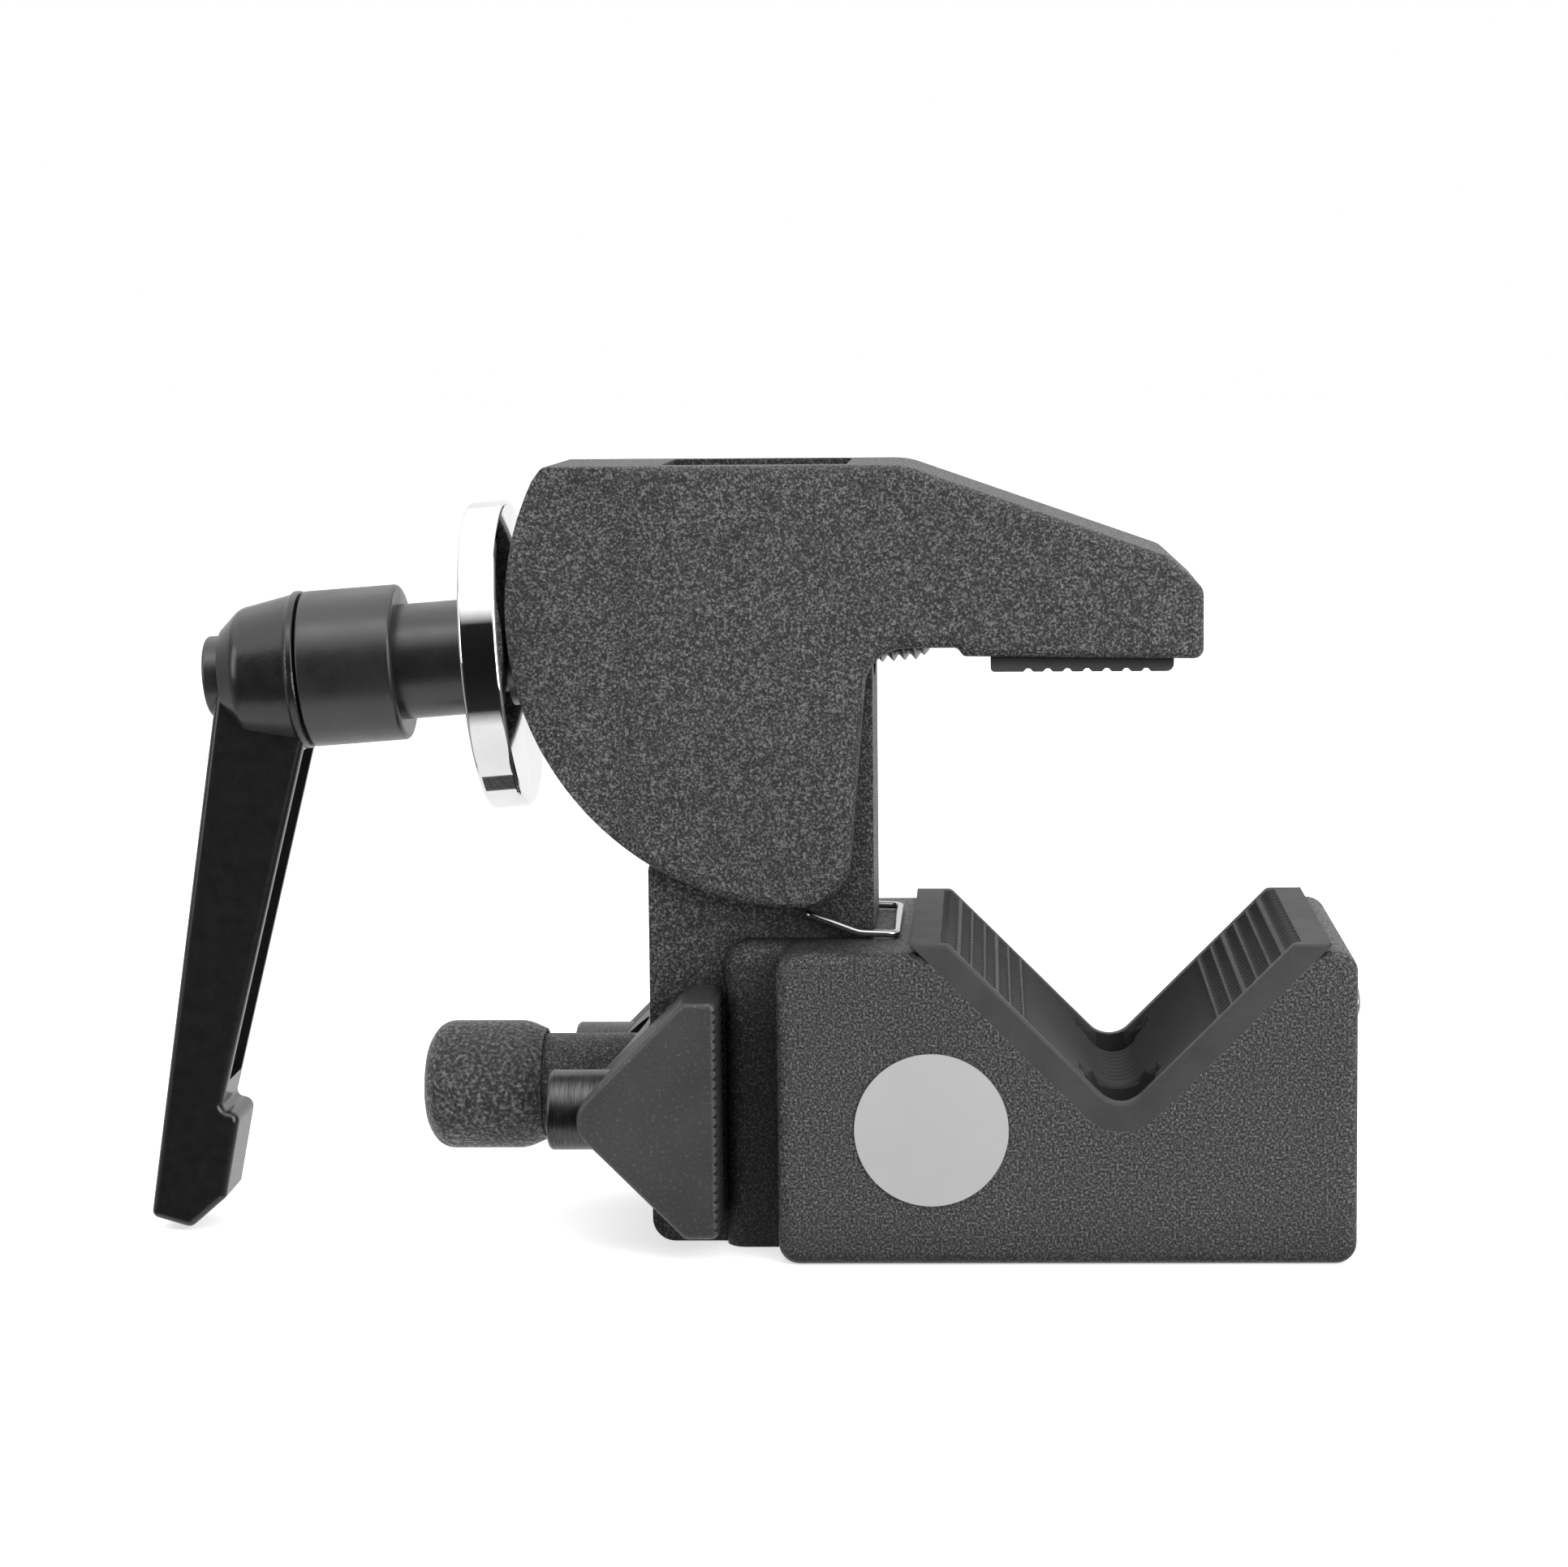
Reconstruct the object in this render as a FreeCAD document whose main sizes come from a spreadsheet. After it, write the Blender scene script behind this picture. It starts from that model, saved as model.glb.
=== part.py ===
"""Super clamp with a swinging jaw, a screw-fed thrust disc, a ratchet lever and a stored wedge.

The origin is the centre of the mouth of the stud socket, in the underside of the column.
+Z is up, the jaws open towards +X, the lever is at -X, and the part is symmetric about Y = 0.
"""
import FreeCAD, Part
import math
import os

V = FreeCAD.Vector

# ---------------------------------------------------------------- driving dimensions
SIZES = {
    # column and lower jaw
    "column_length": 35.0,      # along X
    "column_width": 24.0,       # along Y
    "column_height": 108.0,
    "neck_back": 11.5,          # the neck is cut back to this distance behind the centre
    "foot_front": 20.0,
    "foot_back": 5.7,
    "foot_width": 31.6,
    "foot_corner": 4.0,
    "foot_edge": 3.2,
    "jaw_width": 54.0,
    "block_left": 3.0,
    "block_right": 90.9,
    "block_height": 48.0,
    "block_corner": 3.2,
    "block_edge": 2.0,
    # V pad
    "vee_centre": 55.15,
    "vee_top": 49.3,
    "vee_inside": 26.1,         # half width of the V opening at the top
    "vee_outside": 31.7,        # half width over the pad at the top
    "vee_inner_round": 4.4,
    "vee_outer_round": 7.5,
    "peg_spacing": 37.0,
    "peg_hole_radius": 6.4,
    "peg_hole_floor": 13.0,
    # stud socket and its lock
    "socket_radius": 8.1,
    "socket_depth": 32.0,
    "lock_height": 22.4,
    "lock_radius": 4.0,
    "lock_bore_radius": 4.08,
    "boss_radius": 8.05,
    "boss_end": 36.4,
    "knob_radius": 10.1,
    "knob_recess": 8.35,        # radius of the recess that covers the end of the boss
    "knob_rim": 35.3,
    "knob_face": 37.9,
    "knob_back": 54.2,
    "tip_length": 2.0,
    "tip_front": 8.3,
    # pivot of the upper jaw
    "pivot_x": 6.4,
    "pivot_z": 60.8,
    "pivot_radius": 4.0,
    "pivot_length": 29.4,
    "pivot_running": 0.06,
    # upper jaw
    "cheek_width": 35.0,
    "cheek_gap": 24.7,
    "cheek_round": 46.2,        # radius of the rear edge that the thrust disc bears on
    "cheek_centre_x": 7.6,
    "cheek_centre_z": 99.2,
    "jaw_top": 121.3,
    "arch_height": 93.3,
    "nose_start": 31.6,
    "nose_end": 68.2,
    "nose_bottom": 92.0,
    "slope_start": 22.6,        # the top of the jaw slopes down from here
    "slope_end": 62.8,
    "slope_low": 107.2,
    "nose_shoulder": 102.2,
    "jaw_edge": 1.6,
    "flank_start": 17.2,        # behind this line the flanks of the cheeks step in
    "flank_run": 5.2,
    "flank_step": 0.8,
    "pad_front": 63.7,
    "pad_back": 35.7,
    "pad_width": 30.0,
    "pad_thickness": 2.5,
    "stud_radius": 2.5,
    # screw line, measured along the screw from the working face of the disc
    "screw_tilt": 4.2,
    "face_x": -38.3,
    "face_z": 91.47,
    "disc_radius": 24.2,
    "disc_thickness": 6.0,
    "thread_radius": 6.0,
    "thread_pitch": 1.75,
    "thread_length": 64.3,
    "thread_depth": 0.95,
    "journal_radius": 5.0,
    "screw_running": 0.08,
    "bush_radius": 8.0,
    "bush_start": 29.0,
    "bush_length": 25.0,
    "collar_radius": 9.1,
    "collar_end": 18.4,
    "sleeve_radius": 12.3,
    "sleeve_end": 33.4,
    "spigot_radius": 8.0,
    "spigot_end": 39.2,
    "hub_radius": 12.5,
    "hub_end": 46.8,
    "head_radius": 6.4,
    "head_end": 49.4,
    "head_seat": 46.2,
    "spring_seat": 41.2,
    "shank_radius": 2.9,
    # lever arm
    "arm_width": 13.0,
    "arm_channel": 8.6,
    # stored wedge
    "wedge_front": 6.1,
    "wedge_tip": 29.5,
    "wedge_top": 40.6,
    "wedge_bottom": 4.0,
    "wedge_round": 4.6,
    "wedge_edge": 1.0,
    "wedge_slot": 24.7,
    "wedge_hole_radius": 10.6,
    "peg_radius": 6.15,
    "peg_end": 32.5,
    "peg_start": 20.0,
    # small parts
    "label_radius": 11.7,
    "label_thickness": 0.3,
    "label_x": 26.4,
    "label_z": 21.05,
    "wire_radius": 0.58,
    "pin_head_radius": 2.25,
    "pin_shank_radius": 1.2,
    "pin_height": 39.0,
}

doc = FreeCAD.newDocument("SuperClamp")
sheet = doc.addObject("Spreadsheet::Sheet", "Sizes")
for row, (alias, number) in enumerate(SIZES.items(), start=1):
    sheet.set(f"A{row}", alias)
    sheet.set(f"B{row}", str(number))
    sheet.setAlias(f"B{row}", alias)
doc.recompute()

NODES = []


def size(alias):
    """The value of one cell of the sheet."""
    return float(sheet.get(alias))


def bind(target, prop, formula):
    """Bind a property to a formula whose words are aliases of the sheet."""
    words = formula.split()
    bound = ["Sizes." + word if word in SIZES else word for word in words]
    target.setExpression(prop, " ".join(bound))


def node(target, label):
    """Give a finished sub-part the label that names its file."""
    target.Label = label
    NODES.append(target)
    return target


# ---------------------------------------------------------------- outlines and features
def rounded(corners, closed=True):
    """Straight runs through the corners, each corner (point, radius) rounded by a tangent arc."""
    count = len(corners)
    runs = []
    for index, (point, radius) in enumerate(corners):
        is_end = not closed and index in (0, count - 1)
        if is_end or radius == 0:
            runs.append((point, None, point))
            continue
        back = (corners[index - 1][0] - point).normalize()
        ahead = (corners[(index + 1) % count][0] - point).normalize()
        half = back.getAngle(ahead) / 2
        reach = radius / math.tan(half)
        middle = (back + ahead).normalize() * (radius / math.sin(half) - radius)
        runs.append((point + back * reach, point + middle, point + ahead * reach))
    pieces = []
    for index, (start, middle, end) in enumerate(runs):
        if middle is not None:
            pieces.append(Part.ArcOfCircle(start, middle, end))
        if index == count - 1 and not closed:
            break
        following = runs[(index + 1) % count][0]
        if (following - end).Length > 1e-6:
            pieces.append(Part.LineSegment(end, following))
    return pieces


def flat(points):
    """Corners in a sketch plane from (x, y) or (x, y, radius)."""
    return [(V(p[0], p[1], 0), p[2] if len(p) > 2 else 0) for p in points]


def box_corners(left, low, right, high, radius=0):
    return flat([(x, y, radius) for x, y in ((left, low), (right, low), (right, high), (left, high))])


def circle(x, y, radius):
    return [Part.Circle(V(x, y, 0), V(0, 0, 1), radius)]


def new_body(name):
    return doc.addObject("PartDesign::Body", name)


def sketch_on(body, role, outlines, offset=0.0):
    """A sketch of closed outlines on one of the body's origin planes, moved along its normal."""
    plane = [f for f in body.Origin.OriginFeatures if f.Role == role][0]
    sketch = body.newObject("Sketcher::SketchObject", body.Name + "_sketch")
    sketch.AttachmentSupport = (plane, [""])
    sketch.MapMode = "FlatFace"
    sketch.AttachmentOffset = FreeCAD.Placement(V(0, 0, offset), FreeCAD.Rotation())
    for outline in outlines:
        sketch.addGeometry(outline, False)
    return sketch


def pad(body, sketch, length, symmetric=True, reverse=False):
    feature = body.newObject("PartDesign::Pad", body.Name + "_pad")
    feature.Profile = sketch
    feature.SideType = "Symmetric" if symmetric else "One side"
    feature.Reversed = reverse
    bind(feature, "Length", length)
    doc.recompute()
    return feature


def pocket(body, sketch, length=None, symmetric=True, reverse=False):
    """Cut a sketch out of the body, right through when no length is given."""
    before = body.Shape.Volume
    feature = body.newObject("PartDesign::Pocket", body.Name + "_pocket")
    feature.Profile = sketch
    feature.SideType = "Symmetric" if symmetric else "One side"
    feature.Reversed = reverse
    if length is None:
        feature.Type = "ThroughAll"
    else:
        bind(feature, "Length", length)
    doc.recompute()
    if body.Shape.Volume > before - 0.01:
        raise RuntimeError(f"{feature.Name} cuts nothing")
    return feature


def turned(name, corners):
    """A body turned about its own Z axis from an outline of (radius, height) corners."""
    body = new_body(name)
    sketch = sketch_on(body, "XZ_Plane", [rounded(flat(corners))])
    feature = body.newObject("PartDesign::Revolution", name + "_turn")
    feature.Profile = sketch
    feature.ReferenceAxis = (sketch, ["V_Axis"])
    feature.Angle = 360
    doc.recompute()
    return body


def fillet(body, radius, wanted):
    """Round every edge of the body whose middle point passes the test."""
    tip = body.Tip
    names = []
    for index, edge in enumerate(tip.Shape.Edges, start=1):
        middle = edge.valueAt((edge.FirstParameter + edge.LastParameter) / 2)
        if wanted(middle):
            names.append(f"Edge{index}")
    feature = body.newObject("PartDesign::Fillet", body.Name + "_fillet")
    feature.Base = (tip, names)
    bind(feature, "Radius", radius)
    doc.recompute()
    return feature


def rod(name, radius, length, base, direction):
    """A round bar from a base point along a direction."""
    bar = doc.addObject("Part::Cylinder", name)
    bind(bar, "Radius", radius)
    bind(bar, "Height", length)
    bar.Placement = FreeCAD.Placement(base, FreeCAD.Rotation(V(0, 0, 1), direction))
    return bar


def joined(name, shapes):
    result = doc.addObject("Part::MultiFuse", name)
    result.Shapes = shapes
    result.Refine = True
    doc.recompute()
    return result


def cut(name, base, tool):
    result = doc.addObject("Part::Cut", name)
    result.Base = base
    result.Tool = tool
    doc.recompute()
    return result


# ---------------------------------------------------------------- shared geometry
TILT = math.radians(size("screw_tilt"))
SCREW = V(math.cos(TILT), 0, math.sin(TILT))
FACE = V(size("face_x"), 0, size("face_z"))
SCREW_LINE = FreeCAD.Placement(FACE, FreeCAD.Rotation(V(0, 1, 0), 90 - size("screw_tilt")))
PIVOT = V(size("pivot_x"), size("pivot_z"), 0)
VEE_X = size("vee_centre")
VEE_FLOOR = size("vee_top") - size("vee_inside")
VEE_ROOT = size("vee_top") - size("vee_outside")
PEG_Y = size("peg_spacing") / 2
SIDES = {"right": -1, "left": 1}
LOCK_Z = size("lock_height")
WIRE_END = V(7.3, 0, 51.9)
CUT_START = -40.0               # cuts along X at the back start behind the wedge, at this X


def on_screw_line(body):
    body.Placement = SCREW_LINE
    return body


# ---------------------------------------------------------------- base body
def block_outline():
    notch = size("block_height") - VEE_ROOT
    top = size("block_height")
    left = size("block_left")
    right = size("block_right")
    corner = size("block_corner")
    return rounded(flat([
        (left, 0, corner),
        (right, 0, corner),
        (right, top, corner),
        (VEE_X + notch, top),
        (VEE_X, VEE_ROOT, size("vee_outer_round")),
        (VEE_X - notch, top),
        (left, top, corner),
    ]))


def column_outline():
    back = -size("column_length") / 2
    neck = -size("neck_back")
    slope_top = size("pivot_z") + 4.5
    slope_bottom = slope_top - (neck - back)
    return rounded(flat([
        (back, 0, 3.6),
        (-back, 0, 2.0),
        (-back, size("column_height"), 2.0),
        (neck, size("column_height"), 2.0),
        (neck, slope_top, 3.0),
        (back, slope_bottom, 2.0),
    ]))


def make_base_casting():
    """Column, foot and lower jaw cast in one, with the boss of the stud lock at the back."""
    body = new_body("base_body")
    add_foot(body)
    pad(body, sketch_on(body, "XZ_Plane", [block_outline()]), "jaw_width")
    half = size("jaw_width") / 2
    notch = size("block_height") - VEE_ROOT

    def on_side_rim(point):
        in_notch = abs(point.x - VEE_X) < notch - 0.5 and point.z > VEE_ROOT - 0.5
        return abs(abs(point.y) - half) < 0.01 and not in_notch

    fillet(body, "block_edge", on_side_rim)
    pad(body, sketch_on(body, "XZ_Plane", [column_outline()]), "column_width")
    boss = sketch_on(body, "YZ_Plane", [circle(0, LOCK_Z, size("boss_radius"))], -16.0)
    pad(body, boss, "boss_end - 16", symmetric=False, reverse=True)
    cut_base_openings(body)
    start = FACE + SCREW * (size("bush_start") - 6)
    bore = rod("bush_bore", "bush_radius", "bush_length + 12", start, SCREW)
    return node(cut("base_cut", body, bore), "base_casting")


def add_foot(body):
    """Thickening with soft edges where the column runs into the lower jaw."""
    back = -size("foot_back")
    front = size("foot_front")
    top = size("block_height")
    outline = rounded(flat([(back, 0), (front, 0), (front, top), (back, top, size("foot_corner"))]))
    pad(body, sketch_on(body, "XZ_Plane", [outline]), "foot_width")
    half = size("foot_width") / 2

    def on_free_rim(point):
        return abs(abs(point.y) - half) < 0.01 and point.z > 0.5 and point.x < front - 0.5

    fillet(body, "foot_edge", on_free_rim)


def cut_base_openings(body):
    """Stud socket, lock bore, pivot bore, wire holes, peg holes and holes of the drive pins."""
    socket = sketch_on(body, "XY_Plane", [circle(0, 0, size("socket_radius"))])
    pocket(body, socket, "socket_depth", symmetric=False, reverse=True)
    lock = sketch_on(body, "YZ_Plane", [circle(0, LOCK_Z, size("lock_bore_radius"))], CUT_START)
    pocket(body, lock, "40", symmetric=False, reverse=True)
    across = circle(PIVOT.x, PIVOT.y, size("pivot_radius"))
    pocket(body, sketch_on(body, "XZ_Plane", [across]))
    wire = circle(WIRE_END.x, WIRE_END.z, size("wire_radius"))
    pocket(body, sketch_on(body, "XZ_Plane", [wire]))
    pegs = [circle(VEE_X, side * PEG_Y, size("peg_hole_radius")) for side in SIDES.values()]
    holes = sketch_on(body, "XY_Plane", pegs, size("peg_hole_floor"))
    pocket(body, holes, "vee_top - peg_hole_floor", symmetric=False, reverse=True)
    pin = size("pin_shank_radius")
    pins = [circle(side * PEG_Y, size("pin_height"), pin) for side in SIDES.values()]
    shanks = sketch_on(body, "YZ_Plane", pins, size("block_right") + 1)
    pocket(body, shanks, "6", symmetric=False)


def make_v_pad():
    """Rubber liner of the V, with the two holes that the wedge's pegs go into."""
    body = new_body("v_pad_body")
    top = size("vee_top")
    inside = size("vee_inside")
    outside = size("vee_outside")
    outline = rounded(flat([
        (VEE_X - outside, top),
        (VEE_X - inside, top, 1.2),
        (VEE_X, VEE_FLOOR, size("vee_inner_round")),
        (VEE_X + inside, top, 1.2),
        (VEE_X + outside, top),
        (VEE_X, VEE_ROOT, size("vee_outer_round")),
    ]))
    pad(body, sketch_on(body, "XZ_Plane", [outline]), "jaw_width")
    pegs = [circle(VEE_X, side * PEG_Y, size("peg_hole_radius")) for side in SIDES.values()]
    holes = sketch_on(body, "XY_Plane", pegs, size("peg_hole_floor"))
    pocket(body, holes, "vee_top - peg_hole_floor", symmetric=False, reverse=True)
    return node(body, "v_pad")


def make_end_pins():
    """Two dome-headed drive pins in the free end of the lower jaw."""
    head = size("pin_head_radius")
    shank = size("pin_shank_radius")
    dome = 0.9
    profile = [(0, -5), (shank, -5), (shank, 0), (head, 0), (head, dome, 0.7), (0, dome)]
    pins = []
    for name, side in SIDES.items():
        pin = turned(f"end_pin_{name}", profile)
        base = V(size("block_right"), side * PEG_Y, size("pin_height"))
        pin.Placement = FreeCAD.Placement(base, FreeCAD.Rotation(V(0, 0, 1), V(1, 0, 0)))
        pins.append(pin)
    both = doc.addObject("Part::Compound", "end_pin_pair")
    both.Links = pins
    return node(both, "end_pins")


def make_round_label():
    body = new_body("round_label_body")
    outline = circle(size("label_x"), size("label_z"), size("label_radius"))
    face = sketch_on(body, "XZ_Plane", [outline], size("jaw_width") / 2)
    pad(body, face, "label_thickness", symmetric=False)
    return node(body, "round_label")


def make_pivot_pin():
    half = size("pivot_length") / 2
    start = V(PIVOT.x, half, PIVOT.y)
    return node(rod("pivot_rod", "pivot_radius", "pivot_length", start, V(0, -1, 0)), "pivot_pin")


def make_retaining_wire():
    """Spring wire from one side of the column, round its front and back into the other side."""
    side = size("column_width") / 2 + 1.4
    inner = size("column_width") / 2 - 3
    front = size("foot_front") + 1.0
    low = size("block_height") + size("wire_radius") + 0.15
    lead = V(WIRE_END.x, -side, WIRE_END.z)
    bend = V(15.2, -side, low + 0.2)
    corner = V(front, -side, low)
    half = [V(lead.x, -inner, lead.z), lead, bend, corner]
    other = [V(p.x, -p.y, p.z) for p in reversed(half)]
    radii = [0, 0.9, 6.0, 1.4]
    corners = list(zip(half + other, radii + radii[::-1]))
    path = Part.Wire([piece.toShape() for piece in rounded(corners, closed=False)])
    section = Part.Wire([Part.Circle(half[0], V(0, 1, 0), size("wire_radius")).toShape()])
    wire = doc.addObject("Part::Feature", "wire_sweep")
    wire.Shape = path.makePipeShell([section], True, True)
    return node(wire, "retaining_wire")


def make_thread_bush():
    """Threaded bush of the clamp screw, pressed into the top of the column."""
    start = size("bush_start")
    end = start + size("bush_length")
    inner = size("thread_radius") + size("screw_running")
    outer = size("bush_radius")
    profile = [(inner, start), (outer, start), (outer, end), (inner, end)]
    return node(on_screw_line(turned("bush_body", profile)), "thread_bush")


# ---------------------------------------------------------------- upper jaw
def jaw_outline():
    """Side view of the upper jaw: round rear edge, round foot about the pivot, and the nose."""
    centre = V(size("cheek_centre_x"), size("cheek_centre_z"), 0)
    reach = size("cheek_round")
    foot = reach - (centre - PIVOT).Length
    down = (PIVOT - centre).normalize()
    lean = math.radians(-4.8)
    across = V(math.cos(lean), math.sin(lean), 0)
    rise = V(-across.y, across.x, 0)

    def rear(degrees):
        angle = math.radians(degrees)
        return centre + V(math.cos(angle), math.sin(angle), 0) * reach

    rear_top = rear(154.5)
    low = centre + down * reach
    side = PIVOT + across * foot
    between = PIVOT + (down + across).normalize() * foot
    arch = size("arch_height")
    arch_end = side + rise * ((arch - side.y) / rise.y)
    nose_start = size("nose_start")
    nose_end = size("nose_end")
    bottom = size("nose_bottom")
    top = size("jaw_top")
    corners = [(side, 0), (arch_end, 6.5)] + flat([
        (nose_start - 1, arch, 1.0),
        (nose_start, bottom, 0.8),
        (nose_end, bottom - 0.5, 1.6),
        (nose_end, size("nose_shoulder"), 2.6),
        (size("slope_end"), size("slope_low"), 3.0),
        (size("slope_start"), top, 12.0),
        (rear_top.x + 1.6, top, 1.6),
    ]) + [(rear_top, 0)]
    rear_arc = Part.ArcOfCircle(rear_top, rear(215), low)
    foot_arc = Part.ArcOfCircle(low, between, side)
    return rounded(corners, closed=False) + [rear_arc, foot_arc]


def make_upper_jaw():
    """Casting with two cheeks that straddle the column, a rear bridge and a solid nose."""
    body = new_body("upper_jaw_body")
    half = size("cheek_width") / 2
    top = size("jaw_top")
    pad(body, sketch_on(body, "XZ_Plane", [jaw_outline()]), "cheek_width")
    fillet(body, "jaw_edge", lambda point: abs(abs(point.y) - half) < 0.01)
    flanks = sketch_on(body, "XY_Plane", [flank_outline(side) for side in SIDES.values()])
    pocket(body, flanks, "jaw_top * 1.1", symmetric=False, reverse=True)
    gap = rounded(flat([
        (-14.6, top + 2),
        (-14.6, 113.8, 1.0),
        (-60, 113.8),
        (-60, 40),
        (30, 40),
        (30, 107.5, 2.0),
        (24.0, 115.4, 2.0),
        (13.8, 119.4),
        (13.8, top + 2),
    ]))
    pocket(body, sketch_on(body, "XZ_Plane", [gap]), "cheek_gap")
    running = size("pivot_radius") + size("pivot_running")
    seats = sketch_on(body, "XZ_Plane", [circle(PIVOT.x, PIVOT.y, running)])
    pocket(body, seats, "pivot_length + 0.8")
    stud_sketch = sketch_on(body, "XY_Plane", pad_studs(), size("nose_bottom") - 1)
    pocket(body, stud_sketch, "4", symmetric=False, reverse=True)
    return node(body, "upper_jaw")


def flank_outline(side):
    """Plan of what is cut from one cheek: a thin layer behind a short ramp."""
    far = -60
    outer = size("cheek_width") / 2
    start = -size("flank_start")
    end = start - size("flank_run")
    inner = outer - size("flank_step")
    plan = [(far, outer + 1), (start, outer + 1), (start, outer), (end, inner), (far, inner)]
    return rounded(flat([(x, side * y) for x, y in plan]))


def pad_studs():
    """Outlines of the two moulded studs of the jaw pad."""
    middle = (size("pad_front") + size("pad_back")) / 2
    return [circle(middle + side * 7, 0, size("stud_radius")) for side in SIDES.values()]


def make_jaw_pad():
    """Ribbed rubber pad under the nose, held by two moulded studs."""
    body = new_body("jaw_pad_body")
    top = size("nose_bottom")
    low = top - size("pad_thickness")
    rib = 3.0
    corners = [(size("pad_back"), top - 0.25), (size("pad_back"), low, 0.6)]
    start = size("pad_back") + 5.0
    for index in range(7):
        left = start + index * rib
        corners += [(left, low), (left + 0.5, low + 0.5), (left + 1.0, low + 0.5), (left + 1.5, low)]
    corners += [(size("pad_front"), low, 1.2), (size("pad_front"), top - 0.44)]
    pad(body, sketch_on(body, "XZ_Plane", [rounded(flat(corners))]), "pad_width")
    pad(body, sketch_on(body, "XY_Plane", pad_studs(), top - 1), "3.8", symmetric=False)
    return node(body, "upper_jaw_pad")


# ---------------------------------------------------------------- screw, disc and lever
def make_thrust_disc():
    """Chromed disc that pushes on the rear edges of both cheeks."""
    back = -size("disc_thickness")
    rim = size("disc_radius")
    bore = size("thread_radius") + 0.06
    profile = [(bore, back), (rim, back, 0.7), (rim, 0, 0.7), (bore, 0)]
    return node(on_screw_line(turned("disc_body", profile)), "thrust_disc")


def make_clamp_screw():
    """Screw with ring-shaped thread grooves, a plain journal in the disc and a plain tail."""
    radius = size("thread_radius")
    pitch = size("thread_pitch")
    root = radius - size("thread_depth")
    end = size("thread_length")
    tail = -size("sleeve_end")
    journal = size("journal_radius")
    shoulder = -size("disc_thickness") - 0.1
    corners = [(0, tail), (journal, tail), (journal, shoulder), (radius, shoulder)]
    first = 2.6
    grooves = int((end - 1.5 - first) / pitch)
    for index in range(grooves):
        start = first + index * pitch
        corners += [(radius, start), (root, start + 0.45 * pitch), (root, start + 0.55 * pitch),
                    (radius, start + pitch - 0.2)]
    corners += [(radius, end - 1.4), (radius - 1.4, end), (0, end)]
    return node(on_screw_line(turned("screw_body", corners)), "clamp_screw")


def make_screw_collar():
    """Collar that pushes the disc, pressed on the screw between the disc and the lever's sleeve."""
    near = -size("disc_thickness") - 0.15
    far = -size("collar_end")
    outer = size("collar_radius")
    inner = size("journal_radius")
    relief = size("thread_radius") + 0.1
    profile = [(inner, far), (outer, far), (outer, near, 0.4), (relief, near), (relief, near - 0.2),
               (inner, near - 0.2)]
    return node(on_screw_line(turned("collar_body", profile)), "screw_collar")


def make_disc_clip():
    """Retaining ring in front of the disc."""
    inner = size("thread_radius")
    outer = inner + 2.2
    profile = [(inner, 0.3), (outer, 0.3), (outer, 1.4), (inner, 1.4)]
    return node(on_screw_line(turned("clip_body", profile)), "disc_clip")


def make_hub_sleeve():
    """Steel insert of the lever: a plain sleeve, and a toothed spigot inside the lever's hub."""
    near = -size("collar_end")
    far = -size("sleeve_end")
    tip = -size("spigot_end")
    outer = size("sleeve_radius")
    spigot = size("spigot_radius")
    journal = size("journal_radius")
    bore = size("shank_radius") + 0.1
    blank = on_screw_line(turned("sleeve_blank", [
        (journal, near),
        (outer, near, 0.8),
        (outer, far, 0.4),
        (spigot, far),
        (spigot, tip, 0.4),
        (bore, tip),
        (bore, far),
        (journal, far),
    ]))
    teeth = 12
    cuts = []
    for index in range(teeth):
        angle = 2 * math.pi * index / teeth
        place = SCREW_LINE.multVec(V(spigot * math.cos(angle), spigot * math.sin(angle), tip - 1))
        cuts.append(rod(f"tooth_gap_{index}", "0.9", "spigot_end - sleeve_end - 1", place, SCREW))
    return node(cut("sleeve_cut", blank, joined("tooth_gaps", cuts)), "hub_sleeve")


def lever_hub_outline():
    """Outer profile of the hub: a lip against the sleeve, a cone and a rounded end."""
    lip = -size("sleeve_end") - 0.35
    end = -size("hub_end")
    outer = size("hub_radius")
    return [
        (0, lip),
        (outer - 0.1, lip, 0.3),
        (outer, lip - 1.1, 0.5),
        (outer - 0.5, lip - 1.6),
        (outer - 2.1, end + 3.2, 3.2),
        (outer - 5.1, end, 0.4),
        (0, end),
    ]


def make_lever_arm():
    """Cast lever: hub and a flat arm that leans outwards, with a channel along its inner face."""
    hub = on_screw_line(turned("hub_body", lever_hub_outline()))
    arm = new_body("arm_body")
    outline = rounded(flat([
        (-85.2, 88.0, 2.0),
        (-97.9, 2.4, 1.2),
        (-91.6, 0.5, 1.4),
        (-85.9, 5.4, 1.0),
        (-83.3, 18.9, 1.6),
        (-86.3, 19.6, 1.0),
        (-70.6, 83.0),
        (-71.4, 92.0, 2.0),
    ]))
    pad(arm, sketch_on(arm, "XZ_Plane", [outline]), "arm_width")
    half = size("arm_width") / 2
    fillet(arm, "1.3", lambda point: abs(abs(point.y) - half) < 0.01 and point.z < 79)
    channel = rounded(flat([(-82.0, 24.0), (-69.0, 76.6), (-73.6, 76.6, 0.8), (-87.2, 24.0, 0.8)]))
    pocket(arm, sketch_on(arm, "XZ_Plane", [channel]), "arm_channel")
    bore = lever_bore()
    return node(cut("lever_cut", joined("lever_blank", [hub, arm]), bore), "lever_arm")


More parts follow.
